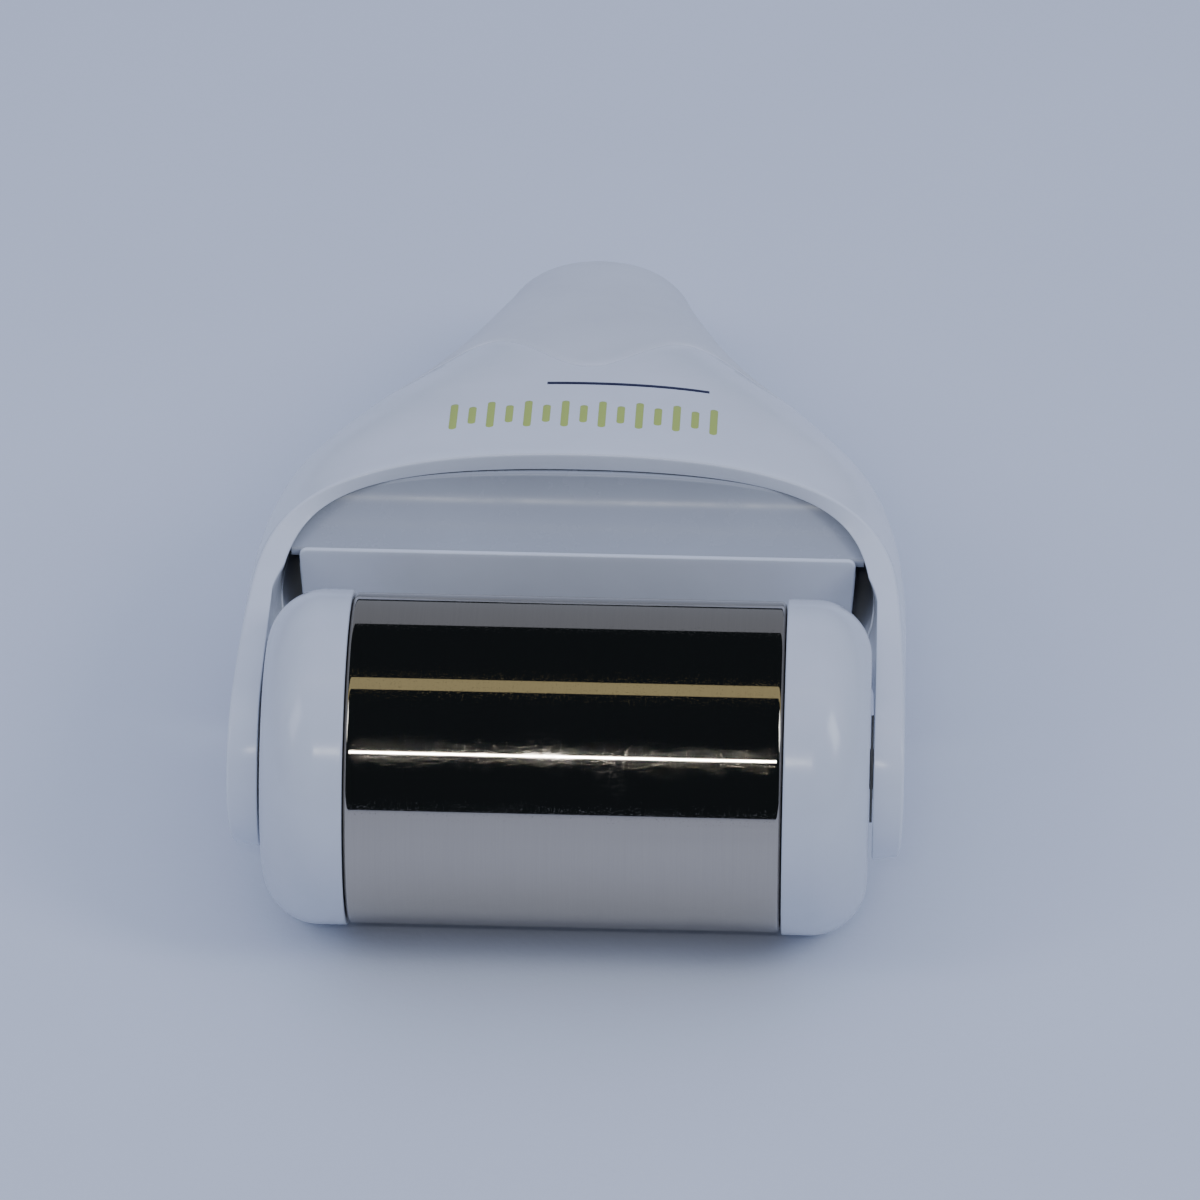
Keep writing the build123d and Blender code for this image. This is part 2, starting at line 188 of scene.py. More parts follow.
def section(v, side_wall=0.0, skin=0.0):
    """Section at station v, less its walls: y, half width, top, seam, belly and fullness.

    Past BUTT_START, v measures round the butt, so that the end closes smoothly.
    """
    turn = min(max((v - BUTT_START) / BUTT_ROUNDING, 0), pi / 2)
    y = min(v, BUTT_START) + (BUTT_ROUNDING - skin) * sin(turn)
    shrink = cos(turn)
    top, belly = top_line(y), belly_line(y)
    middle = (top + belly) / 2
    parts = [middle + (z - middle) * shrink for z in (top - skin, seam_line(y), belly + skin)]
    square = fullness(y) + (INNER_FULLNESS if skin else 0)
    return y, (half_width(y) - side_wall) * shrink, *parts, square


def quarter(f, k):
    """Bezier quadrant from (1, 0) at f = 0 to (0, 1) at f = 1."""
    g = 1 - f
    return g**3 + 3 * g * g * f + 3 * g * f * f * k, 3 * g * g * f * k + 3 * g * f * f + f**3


def on_section(parts, s):
    """Point of a section.  s is 0 on top, 1 at the right seam, 2 below, -1 at the left seam."""
    y, half, top, seam, belly, k = parts
    side = -1 if (s < 0 or s > 2) else 1
    reach = abs(s) if abs(s) <= 2 else 4 - abs(s)
    across, up = quarter(abs(1 - reach), k)
    end = top if reach <= 1 else belly
    return Vector((side * half * across, y, seam + (end - seam) * up))


def surface(v, s):
    point = on_section(section(v), s)
    point.z = max(point.z, GROUND)
    return point


def inner_surface(v, s):
    """The same place on the inner face of the wall; the arms' inner faces are flat."""
    point = on_section(section(v, ARM_WALL, SHELL_WALL), s)
    point.z = max(point.z, GROUND + FOOT_WALL)
    share = min(max((BAY_EASE - point.y) / (BAY_EASE - BAY_BACK), 0), 1)
    on_side = abs(s) > 0.5
    if share > 0 and on_side:
        flat = BAY_HALF if point.x > 0 else -BAY_HALF
        point.x += (flat - point.x) * share
    return point


def solve(function, low, high):
    """Bisection: where function changes sign between low and high."""
    sign = function(low) > 0
    for _ in range(36):
        middle = (low + high) / 2
        if (function(middle) > 0) == sign:
            low = middle
        else:
            high = middle
    return (low + high) / 2


def s_at_height(v, z):
    """Right-hand s where the section at v reaches height z; s > 1 is below the seam."""
    y, half, top, seam, belly, k = section(v)
    end = top if z >= seam else belly
    share = min(max((z - seam) / (end - seam), 0), 1)
    f = solve(lambda f: quarter(f, k)[1] - share, 0, 1)
    return 1 - f if z >= seam else 1 + f


# Arc length round half of each section, from the top to the belly, for even meshes
FIRST_STATION = -15.0
STATION = 0.5
STATIONS = int((V_END - FIRST_STATION) / STATION) + 2
ARC_S = np.linspace(0, 2, 81)


def arc_lengths(v):
    parts = section(min(v, V_END - 0.01))
    points = np.array([on_section(parts, s) for s in ARC_S])
    spans = np.linalg.norm(np.diff(points, axis=0), axis=1)
    return np.concatenate(([0], np.cumsum(spans)))


ARCS = [arc_lengths(FIRST_STATION + STATION * i) for i in range(STATIONS)]


def arc_row(v):
    place = (v - FIRST_STATION) / STATION
    i = min(max(int(place), 0), len(ARCS) - 2)
    share = place - i
    return ARCS[i] * (1 - share) + ARCS[i + 1] * share


def flatten(v, s, below):
    """(v, s) laid out flat, in millimetres: v along, and the distance from the top or the belly."""
    row = arc_row(v)
    if below:
        reach = np.interp(2 - abs(s - 2), ARC_S, row)
        return v, (row[-1] - reach) * (1 if s < 2 else -1)
    return v, np.interp(abs(s), ARC_S, row) * (1 if s > 0 else -1)


def unflatten(v, u, below):
    """The s of a laid-out point (v, u)."""
    row = arc_row(v)
    if below:
        back = 2 - np.interp(row[-1] - abs(u), row, ARC_S)
        return 2 - back if u > 0 else 2 + back
    return np.interp(abs(u), row, ARC_S) * (1 if u > 0 else -1)


# ---- Boundaries of the shells, as (v, s) points on the right-hand side ----
def steps(start, end, count):
    """Count equal steps from start to end, with both ends."""
    return [start + (end - start) * i / count for i in range(count + 1)]


def arc(x, y, radius, start, end, count):
    """Points of an arc about (x, y), from start to end in degrees."""
    turns = [radians(a) for a in steps(start, end, count)]
    return [(x + radius * cos(a), y + radius * sin(a)) for a in turns]


def seam_run(v_from, v_to, offset, count):
    """Line at a height above the side seam."""
    return [(v, s_at_height(v, section(v)[3] + offset)) for v in steps(v_from, v_to, count)]


def split_arc(inset, count):
    """Round corner where the side seam turns down in front of the lower shell."""
    flat = seam_line(0) + inset
    radius = SPLIT_RADIUS + inset
    centre_y = SPLIT_FRONT + SPLIT_RADIUS
    centre_z = flat - radius
    points = []
    for angle in steps(90, 180, count):
        y = centre_y + radius * cos(radians(angle))
        z = centre_z + radius * sin(radians(angle))
        points.append((y, s_at_height(y, z)))
    return points


def wave_line(offset, limit, count):
    """Wavy parting line from s = limit on the right to s = -limit on the left."""
    points = []
    for s in steps(limit, -limit, count):
        y = WAVE_MIDDLE
        for _ in range(30):
            x = surface(y, s).x
            y += 0.5 * (WAVE_MIDDLE + offset - WAVE_SWING * cos(2 * pi * x / WAVE_LENGTH) - y)
        points.append((y, s))
    return points


def arch_height(y, inset):
    """Height of the arch that cuts the crown back in front."""
    radius = ARCH_RADIUS + inset
    drop = min(max(y - ARCH_START, 0), radius - 1e-6)
    return LUG_RADIUS + ARCH_RADIUS - sqrt(radius**2 - drop**2)


def arch_run(inset, count):
    """The crown's front edge, from above the right arm to the middle."""
    first = ARCH_START + 2
    start = s_at_height(first, arch_height(first, inset))
    points = []
    for s in steps(start, 0, count):
        y = solve(lambda y: surface(y, s).z - arch_height(y, inset), ARCH_START, ARCH_LIMIT)
        points.append((y, s))
    return points


def arm_run(inset):
    """Lower edge, round lug and upper edge of an arm."""
    radius = LUG_RADIUS - inset
    join = radians(LUG_JOIN)
    start = (SPLIT_FRONT - inset, ARM_HEEL)
    end = (radius * cos(join), radius * sin(join))
    leaving = (start[0] - 10, start[1] - 0.8)
    arriving = (end[0] - 8 * sin(join), end[1] + 8 * cos(join))
    points = []
    for t in steps(0, 1, 26)[1:]:
        g = 1 - t
        weights = (g**3, 3 * g * g * t, 3 * g * t * t, t**3)
        knots = (start, leaving, arriving, end)
        points.append(tuple(sum(w * p[i] for w, p in zip(weights, knots)) for i in (0, 1)))
    for angle in steps(LUG_JOIN, -270, 60)[1:]:
        a = radians(angle)
        points.append((radius * cos(a), radius * sin(a)))
    points += [(y, radius) for y in steps(0, ARCH_START, 20)[1:]]
    return [(y, s_at_height(y, z)) for y, z in points]


def mirrored(points):
    return [(v, -s) for v, s in reversed(points)]


def upper_loop():
    """Boundary of the crown and the arms."""
    inset = GAP + RIM
    corner = WAVE_CORNERS[0]
    corner_s = s_at_height(corner, section(corner)[3] + inset)
    wave = wave_line(-inset, corner_s, 90)
    right = seam_run(wave[0][0], SPLIT_FRONT + SPLIT_RADIUS, inset, 34)[1:]
    right += split_arc(inset, 12)[1:]
    right += arm_run(RIM)
    right += arch_run(RIM, 60)
    return right + mirrored(right)[1:] + wave[::-1][:-1]


def grip_loop():
    """Boundary of the handle's cover."""
    inset = GAP + RIM
    corner = WAVE_CORNERS[1]
    corner_s = s_at_height(corner, section(corner)[3] + inset)
    wave = wave_line(inset, corner_s, 90)
    v_top = solve(lambda v: section(v)[2] - section(v)[3] - inset, BUTT_START, V_END)
    run = []
    for share in steps(0, 1, 70)[1:]:
        v = wave[0][0] + (v_top - wave[0][0]) * sin(pi / 2 * share)
        run.append((v, s_at_height(v, section(v)[3] + inset)))
    run[-1] = (v_top, 0.0)
    return run + mirrored(run)[1:] + wave[::-1][:-1]


def lower_loop():
    """Boundary of the handle's underside; s runs from 1 at the right seam to 3 at the left."""
    inset = -(GAP + RIM)
    v_low = solve(lambda v: section(v)[3] - section(v)[4] + inset, BUTT_START, V_END)
    front = SPLIT_FRONT + SPLIT_RADIUS
    run = []
    for share in steps(0, 1, 80):
        v = front + (v_low - front) * sin(pi / 2 * share)
        run.append((v, s_at_height(v, section(v)[3] + inset)))
    run[-1] = (v_low, 2.0)
    corner = split_arc(inset, 12)
    edge = SPLIT_FRONT - inset
    first = corner[-1][1]
    rail = [(edge, s) for s in steps(4 - first, first, 70)]
    other = [(v, 4 - s) for v, s in reversed(run)]
    far_corner = [(v, 4 - s) for v, s in corner[1:]]
    return run + other[1:] + far_corner + rail[1:] + corner[::-1][1:-1]


# ---- Meshes ----
def make_object(name, points, faces, material, body="root", slot=None, instead=()):
    """A closed mesh from millimetre points; it rides on a body and stands for CAD nodes."""
    mesh = bpy.data.meshes.new(name)
    mesh.from_pydata([world_point(*p) for p in points], [], faces)
    form = bmesh.new()
    form.from_mesh(mesh)
    bmesh.ops.remove_doubles(form, verts=form.verts, dist=0.002 * MM)
    bmesh.ops.recalc_face_normals(form, faces=form.faces)
    form.to_mesh(mesh)
    form.free()
    mesh.polygons.foreach_set("use_smooth", [True] * len(mesh.polygons))
    mesh.materials.append(material)
    mesh.update()
    thing = bpy.data.objects.new(name, mesh)
    bpy.context.scene.collection.objects.link(thing)
    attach(thing, body)
    if instead:
        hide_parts(*instead)
    return thing


CELL = 1.5  # spacing of the shells' meshes


def grid_inside(loop, cell):
    """Points of a square grid that lie well inside a closed loop."""
    loop = np.array(loop, float)
    follow = np.roll(loop, -1, axis=0)
    span = follow - loop
    low, high = loop.min(0), loop.max(0)
    counts = np.maximum(((high - low) / cell).astype(int), 2)
    kept = []
    for v in np.linspace(low[0], high[0], counts[0] + 1)[1:-1]:
        for u in np.linspace(low[1], high[1], counts[1] + 1)[1:-1]:
            crossing = (loop[:, 1] > u) != (follow[:, 1] > u)
            rise = np.where(span[:, 1] == 0, 1e-12, span[:, 1])
            hits = crossing & (v < loop[:, 0] + (u - loop[:, 1]) * span[:, 0] / rise)
            if hits.sum() % 2 == 0:
                continue
            away = np.array((v, u)) - loop
            share = np.clip((away * span).sum(1) / np.maximum((span**2).sum(1), 1e-12), 0, 1)
            if np.linalg.norm(away - span * share[:, None], axis=1).min() > 0.6 * cell:
                kept.append((v, u))
    return kept


def triangulate(loop, cell):
    """Flat triangles over a loop: corners, triangles, and the loop's own corners in order."""
    spots = list(loop) + grid_inside(loop, cell)
    border = list(range(len(loop)))
    found = delaunay_2d_cdt([Vector(p) for p in spots], [], [border], 1, 1e-6)
    where = {}
    for index, sources in enumerate(found[3]):
        for source in sources:
            where[source] = index
    ring = [where[k] for k in border if k in where]
    ring = [k for i, k in enumerate(ring) if k != ring[i - 1]]
    return [tuple(p) for p in found[0]], found[2], ring


def rim_sign(loop):
    area = sum(a[0] * b[1] - b[0] * a[1] for a, b in zip(loop, loop[1:] + loop[:1]))
    return 1 if area > 0 else -1


def sheet_mesh(outer, inner, triangles, ring, sign, radius, inner_radius, turns=5):
    """Outer face, inner face and a rounded rim between them, as one closed mesh."""
    total = len(outer)
    points = list(outer) + list(inner)
    faces = [tuple(t) for t in triangles]
    faces += [tuple(total + i for i in reversed(t)) for t in triangles]
    size = len(ring)
    rows = []
    for i, k in enumerate(ring):
        along = (outer[ring[(i + 1) % size]] - outer[ring[i - 1]]).normalized()
        down = (inner[k] - outer[k]).normalized()
        out = along.cross(down).normalized() * sign
        row = [k]
        angles = [pi / 2 * j / turns for j in range(1, turns + 1)]
        for angle in angles:
            row.append(len(points))
            points.append(outer[k] + (down * (1 - cos(angle)) + out * sin(angle)) * radius)
        edge = inner[k] + out * (radius - inner_radius)
        for angle in reversed(angles):
            row.append(len(points))
            points.append(edge + (out * sin(angle) - down * (1 - cos(angle))) * inner_radius)
        rows.append(row + [total + k])
    for i, row in enumerate(rows):
        follow = rows[(i + 1) % size]
        for j in range(len(row) - 1):
            faces.append((row[j], follow[j], follow[j + 1], row[j + 1]))
    return points, faces


def shell(loop, below=False):
    """Moulded shell over a loop of (v, s) points."""
    flat = [flatten(v, s, below) for v, s in loop]
    corners, triangles, ring = triangulate(flat, CELL)
    places = [(v, unflatten(v, u, below)) for v, u in corners]
    outer = [surface(v, s) for v, s in places]
    inner = [inner_surface(v, s) for v, s in places]
    sign = rim_sign(flat) * (-1 if below else 1)
    return sheet_mesh(outer, inner, triangles, ring, sign, RIM, INNER_RIM)


def merged(*meshes):
    points, faces = [], []
    for more_points, more_faces in meshes:
        shift = len(points)
        points += more_points
        faces += [tuple(shift + i for i in face) for face in more_faces]
    return points, faces


def slab(outline, y_front, y_back, radius=0.3, turns=4):
    """Upright slab over an (x, z) outline, with rounded front and back edges."""
    size = len(outline)
    levels = []
    for j in range(turns + 1):
        angle = pi / 2 * j / turns
        levels.append((y_front + radius * (1 - sin(angle)), radius * (1 - cos(angle))))
    levels += [(y_front + y_back - y, inset) for y, inset in reversed(levels)]
    rows = sorted(levels)
    points, faces = [], []
    for y, inset in rows:
        for i, (x, z) in enumerate(outline):
            x0, z0 = outline[i - 1]
            x1, z1 = outline[(i + 1) % size]
            inward = Vector((z1 - z0, x0 - x1)).normalized()
            points.append(Vector((x + inward.x * inset, y, z + inward.y * inset)))
    for row in range(len(rows) - 1):
        for i in range(size):
            a, b = row * size + i, row * size + (i + 1) % size
            faces.append((a, b, b + size, a + size))
    faces.append(tuple(range(size)))
    faces.append(tuple((len(rows) - 1) * size + i for i in reversed(range(size))))
    return points, faces


def rear_wall():
    """Wall behind the roller, and the thin lip on it in front of the coved strip."""
    foot = []
    for s in steps(1.32, 2.68, 40):
        point = inner_surface(WALL_FRONT + 1, s)
        foot.append((min(max(point.x, -WALL_HALF), WALL_HALF), point.z - WALL_ROOT))

    def outline(top):
        right = arc(WALL_HALF - WALL_CORNER, top - WALL_CORNER, WALL_CORNER, 90, 0, 8)
        left = [(-x, z) for x, z in reversed(right)]
        return left + right + foot

    set_back = 0.3
    lip = slab(outline(LIP_TOP), WALL_FRONT, WALL_FRONT + LIP_THICK)
    wall = slab(outline(WALL_TOP), WALL_FRONT + set_back, WALL_FRONT + WALL_THICK)
    return merged(lip, wall)


def cove_point(t):
    """Point (y, z) of the circle through the strip's edge, waist and top."""
    return COVE_CENTRE[0] + COVE_RADIUS * cos(t), COVE_CENTRE[1] + COVE_RADIUS * sin(t)


def circle_through(a, b, c):
    """Centre and radius of the circle through three points."""
    d = 2 * (a[0] * (b[1] - c[1]) + b[0] * (c[1] - a[1]) + c[0] * (a[1] - b[1]))
    squares = [p[0] ** 2 + p[1] ** 2 for p in (a, b, c)]
    x = squares[0] * (b[1] - c[1]) + squares[1] * (c[1] - a[1]) + squares[2] * (a[1] - b[1])
    y = squares[0] * (c[0] - b[0]) + squares[1] * (a[0] - c[0]) + squares[2] * (b[0] - a[0])
    centre = (x / d, y / d)
    return centre, sqrt((a[0] - centre[0]) ** 2 + (a[1] - centre[1]) ** 2)


COVE_CENTRE, COVE_RADIUS = circle_through(*COVE)
COVE_ANGLES = [np.arctan2(z - COVE_CENTRE[1], y - COVE_CENTRE[0]) for y, z in (COVE[0], COVE[2])]


def height_at(x, parts, end):
    """Height at x of the half of a section that runs from the seam to the height end."""
    half, seam, k = parts[1], parts[3], parts[5]
    if abs(x) >= half:
        return seam
    f = solve(lambda f: quarter(f, k)[0] - abs(x) / half, 0, 1)
    return seam + (end - seam) * quarter(f, k)[1]


def under_crown(x, y):
    """Height of the crown's underside over (x, y), less the fitting gap."""
    parts = section(y, ARM_WALL + SLIP_GAP, SHELL_WALL + SLIP_GAP)
    return height_at(x, parts, parts[2])


def coved_strip():
    """Strip between the rear wall's lip and the underside of the crown."""
    first, last = COVE_ANGLES

    def room(x, t):
        y, z = cove_point(t)
        return under_crown(x, y) - z

    half = solve(lambda x: room(x, first), 20, 48) - 0.02  # just inside the crown
    columns, rows = 96, 22
    front, back, faces = [], [], []
    for x in [half * sin(pi / 2 * a) for a in steps(-1, 1, columns)]:
        end = solve(lambda t: room(x, t), first, last) if room(x, last) < 0 else last
        for t in steps(first, end, rows):
            y, z = cove_point(t)
            front.append(Vector((x, y, z)))
            back.append(Vector((x, y + COVE_THICK * cos(t), z + COVE_THICK * sin(t))))
    total = len(front)
    side = rows + 1
    for i in range(columns):
        for j in range(rows):
            a = i * side + j
            quad = (a, a + side, a + side + 1, a + 1)
            faces.append(quad)
            faces.append(tuple(total + k for k in reversed(quad)))
    rim = [i * side for i in range(columns + 1)]
    rim += [columns * side + j for j in range(1, side)]
    rim += [i * side + rows for i in reversed(range(columns))]
    rim += [j for j in reversed(range(1, rows))]
    for i, k in enumerate(rim):
        after = rim[(i + 1) % len(rim)]
        faces.append((k, after, total + after, total + k))
    return front + back, faces


def lathe(profile, segments=256):
    """Closed (x, radius) profile turned about the axle."""
    size = len(profile)
    points, faces = [], []
    for i in range(segments):
        angle = 2 * pi * i / segments
        for x, radius in profile:
            points.append(Vector((x, radius * cos(angle), radius * sin(angle))))
    for i in range(segments):
        follow = (i + 1) % segments
        for j in range(size):
            k = (j + 1) % size
            faces.append((i * size + j, follow * size + j, follow * size + k, i * size + k))
    return points, faces


def barrel_profile():
    bore = BARREL_RADIUS - 1.0
    fillet = 0.8
    crown = BARREL_HALF - fillet
    right = [(0, BARREL_RADIUS), (crown - 2, BARREL_RADIUS), (crown - 0.1, BARREL_RADIUS)]
    right += arc(crown, BARREL_RADIUS - fillet, fillet, 90, 0, 8)
    right += [(BARREL_HALF, bore + 0.05), (BARREL_HALF - 0.05, bore), (0, bore)]
    left = [(-x, r) for x, r in reversed(right[1:-1])]
    return right + left


def cap_profile(side):
    """The cap's outline, with softened edges; the hub's bore is open."""
    start = BARREL_HALF + GAP
    corner, wall = 8.5, 2.6
    turn = CAP_END - corner
    shoulder = ROLLER_RADIUS - corner
    hub, hole = 7.0, 5.5
    edge = 0.3
    outline = arc(start + edge, ROLLER_RADIUS - edge, edge, 180, 90, 6)
    outline += [(x, ROLLER_RADIUS) for x in (start + edge + 0.1, turn - 2, turn - 0.05)]
    outline += arc(turn, shoulder, corner, 90, 0, 40)
    outline += [(CAP_END, shoulder - 0.05), (CAP_END, shoulder - 2), (CAP_END, hole + edge + 0.1)]
    outline += arc(CAP_END - edge, hole + edge, edge, 0, -90, 6)
    outline += [(start + 1, hole), (start + 1, hub), (CAP_END - wall, hub), (CAP_END - wall, shoulder)]
    outline += arc(turn, shoulder, corner - wall, 0, 90, 12)[1:]
    outline += [(start - 0.02, ROLLER_RADIUS - wall), (start, ROLLER_RADIUS - 2 * edge)]
    return [(side * x, radius) for x, radius in outline]


def laid_on(x, y, below):
    """Point and outward normal of the crown at (x, y), or of the underside."""

    def height(x, y):
        parts = section(y)
        return max(height_at(x, parts, parts[4 if below else 2]), GROUND)

    reach = 0.1
    slope_x = (height(x + reach, y) - height(x - reach, y)) / (2 * reach)
    slope_y = (height(x, y + reach) - height(x, y - reach)) / (2 * reach)
    upward = Vector((-slope_x, -slope_y, 1)).normalized()
    return Vector((x, y, height(x, y))), -upward if below else upward


def patch(outline, proud, cell, radius, below=False):
    """Thin closed patch that stands a little proud of the crown or the underside."""
    depth = 0.2
    corners, triangles, ring = triangulate(outline, cell)
    laid = [laid_on(x, y, below) for x, y in corners]
    outer = [point + normal * proud for point, normal in laid]
    for point in outer:
        point.z = max(point.z, GROUND)
    inner = [point - normal * depth for point, normal in laid]
    sign = rim_sign(outline) * (1 if below else -1)
    return sheet_mesh(outer, inner, triangles, ring, sign, radius, radius, turns=2)


def rounded_bar(x, y, width, length):
    """Outline of a bar with round ends, lying along Y."""
    radius = min(width, length) / 2
    rise = length / 2 - radius
    upper = arc(x, y + rise, radius, 0, 180, 14)
    lower = [(2 * x - px, 2 * y - py) for px, py in upper]
    return finer(upper + lower)


def finer(outline, step=0.7):
    """The same outline with extra points, so that it can follow a curved surface."""
    points = []
    for (x0, y0), (x1, y1) in zip(outline, outline[1:] + outline[:1]):
        count = max(int(sqrt((x1 - x0) ** 2 + (y1 - y0) ** 2) / step), 1)
        points += [(x0 + (x1 - x0) * i / count, y0 + (y1 - y0) * i / count) for i in range(count)]
    return points


def disc(x, y, radius):
    return arc(x, y, radius, 0, 360, 40)[:-1]


# ---- Materials ----
class Nodes:
    """Shorthand for the nodes of a material or a world."""

    def __init__(self, tree):
        self.tree = tree

    def link(self, source, target):
        self.tree.links.new(source, target)

    def feed(self, target, value):
        """Set a socket to a constant, or link it to another socket."""
        if isinstance(value, (int, float)):
            target.default_value = value
        elif isinstance(value, (tuple, list)):
            target.default_value = (*value, 1)
        else:
            self.link(value, target)

    def node(self, kind, **inputs):
        made = self.tree.nodes.new(kind)
        for key, value in inputs.items():
            made.inputs[key.replace("_", " ")].default_value = value
        return made

    def maths(self, operation, first, second):
        made = self.node("ShaderNodeMath")
        made.operation = operation
        self.feed(made.inputs[0], first)
        self.feed(made.inputs[1], second)
        return made.outputs["Value"]

    def mixed(self, factor, first, second):
        """Colour between two colours."""
        made = self.node("ShaderNodeMix")
        made.data_type = "RGBA"
        self.link(factor, made.inputs["Factor"])
        self.feed(made.inputs["A"], first)
        self.feed(made.inputs["B"], second)
        return made.outputs["Result"]


class Look(Nodes):
    """A procedural material on a Principled shader, laid out in the part's own coordinates."""

    def __init__(self, name, base, roughness, **settings):
        self.material = bpy.data.materials.new(name)
        self.material.use_nodes = True
        super().__init__(self.material.node_tree)
        self.shader = self.tree.nodes["Principled BSDF"]
        self.shader.inputs["Base Color"].default_value = (*base, 1)
        self.shader.inputs["Roughness"].default_value = roughness
        for key, value in settings.items():
            self.shader.inputs[key.replace("_", " ")].default_value = value
        self.coordinates = self.node("ShaderNodeTexCoord").outputs["Object"]

    def noise(self, scale, detail=3.0, stretch=None, roughness=0.55):
        made = self.node("ShaderNodeTexNoise", Scale=scale, Detail=detail, Roughness=roughness)
        if stretch:
            mapping = self.node("ShaderNodeMapping", Scale=stretch)
            self.link(self.coordinates, mapping.inputs["Vector"])
            self.link(mapping.outputs["Vector"], made.inputs["Vector"])
        else:
            self.link(self.coordinates, made.inputs["Vector"])
        return made.outputs["Fac"]

    def ranged(self, value, low, high, to_low, to_high):
        made = self.node("ShaderNodeMapRange", From_Min=low, From_Max=high, To_Min=to_low, To_Max=to_high)
        self.link(value, made.inputs["Value"])
        return made.outputs["Result"]

    def near(self, x, y, z, radius):
        """1 at a place about the axle, falling to 0 at the radius, all in millimetres."""
        away = self.node("ShaderNodeVectorMath")
        away.operation = "DISTANCE"
        self.link(self.coordinates, away.inputs[0])
        away.inputs[1].default_value = world_point(x, y, z)
        return self.ranged(away.outputs["Value"], 0, radius * MM, 1, 0)

    def tint(self, value, dark, light):
        """Base colour between two colours."""
        self.link(self.mixed(value, dark, light), self.shader.inputs["Base Color"])

    def rough(self, value):
        self.link(value, self.shader.inputs["Roughness"])

    def bump(self, value, depth):
        """Relief of a depth in metres."""
        made = self.node("ShaderNodeBump", Strength=1.0, Distance=depth)
        self.link(value, made.inputs["Height"])
        self.link(made.outputs["Normal"], self.shader.inputs["Normal"])


def plain(name, base, roughness, grain=0.00001, metallic=0.0):
    """Plain surface: faint clouding, uneven gloss and a very slight orange peel."""
    look = Look(name, base, roughness, IOR=1.49, Metallic=metallic)
    clouds = look.ranged(look.noise(70.0, 4.0), 0.3, 0.7, 0, 1)
    look.tint(clouds, [c * 0.965 for c in base], [min(c * 1.02, 0.95) for c in base])
    polish = look.ranged(look.noise(260.0, 5.0), 0.3, 0.7, roughness - 0.04, roughness + 0.04)
    look.rough(polish)
    look.bump(look.noise(420.0, 2.0), grain)
    return look.material


STEEL = (0.49, 0.445, 0.385)
FINGER_MARKS = [  # place about the axle, radius and strength
    (-3.4, -18.6, 16.2, 3.4, 0.9), (-1.0, -19.6, 15.0, 3.0, 0.6), (7.0, -21.3, 12.5, 3.4, 1.0),
    (8.4, -21.9, 11.4, 2.6, 0.9), (-2.0, -15.6, 19.1, 9.0, 0.15), (-12.0, -19.5, 15.1, 1.4, 0.35),
]


def finger_marks(look):
    """Smeared spots, from 0 to 1."""
    marks = 0.0
    for x, y, z, radius, strength in FINGER_MARKS:
        mark = look.maths("MULTIPLY", look.near(x, y, z, radius), strength)
        marks = look.maths("MAXIMUM", marks, mark)
    smears = look.noise(1.0, 6.0, stretch=(700.0, 1500.0, 1500.0), roughness=0.8)
    return look.maths("MULTIPLY", marks, look.ranged(smears, 0.46, 0.62, 0, 1))


def steel():
    """Mirror-polished barrel: turning lines round it, pits, fine scratches and finger marks."""
    look = Look("polished_steel", STEEL, 0.04, Metallic=1.0)
    turning = look.noise(1.0, 4.0, stretch=(5200.0, 60.0, 60.0), roughness=0.7)
    scratch = look.noise(1.0, 6.0, stretch=(900.0, 5200.0, 5200.0), roughness=0.8)
    scratch = look.ranged(scratch, 0.66, 0.80, 0, 1)
    haze = look.ranged(look.noise(60.0, 4.0), 0.40, 0.80, 0, 1)
    pits = look.ranged(look.noise(5200.0, 2.0), 0.64, 0.74, 0, 1)
    marks = finger_marks(look)
    gloss = look.ranged(haze, 0, 1, 0.024, 0.034)
    for layer, share in ((scratch, 0.03), (pits, 0.05), (marks, 0.20)):
        gloss = look.maths("ADD", gloss, look.maths("MULTIPLY", layer, share))
    look.rough(gloss)
    look.tint(look.ranged(turning, 0.3, 0.7, 0, 1), [c * 0.95 for c in STEEL], STEEL)
    relief = look.maths("MULTIPLY", turning, 0.6)
    for layer, share in ((scratch, 0.10), (pits, 5.0), (marks, 1.2)):
        relief = look.maths("ADD", relief, look.maths("MULTIPLY", layer, share))
    look.bump(relief, 0.0000005)
    return look.material


looks = {
    "white_shell": plain("white_shell", (0.75, 0.785, 0.85), 0.20),
    # The caps' base is darker than the shell's white: painted shade on the caps.
    "white_cap": plain("white_cap", (0.66, 0.695, 0.76), 0.19),
    "grip_plastic": plain("grip_plastic", (0.71, 0.735, 0.79), 0.36, grain=0.00002),
    # This base is much darker than the shell's white: painted shade of the recessed coved strip under the
    # crown's rim.
    "bridge_plastic": plain("bridge_plastic", (0.42, 0.445, 0.49), 0.26),
    "polished_steel": steel(),
    "plated_steel": plain("plated_steel", (0.60, 0.61, 0.63), 0.32, metallic=1.0),
    "bearing_plastic": plain("bearing_plastic", (0.72, 0.72, 0.68), 0.42),
    "inner_plastic": plain("inner_plastic", (0.55, 0.56, 0.58), 0.45),
    "seal_rubber": plain("seal_rubber", (0.03, 0.03, 0.033), 0.55, grain=0.00003),
    "cold_gel": plain("cold_gel", (0.20, 0.35, 0.55), 0.30),
}
olive_ink = plain("olive_ink", (0.46, 0.56, 0.13), 0.35)
navy_ink = plain("navy_ink", (0.010, 0.012, 0.06), 0.45)

for part in frame["record"]["subparts"]:
    for slot in frame["nodes"][part["node"]].material_slots:
        slot.material = looks[part["material_slot"]]


# ---- Pieces ----
def piece(name, mesh, slot, body="root", instead=(), look=None):
    return make_object(name, *mesh, look or looks[slot], body, slot, instead)


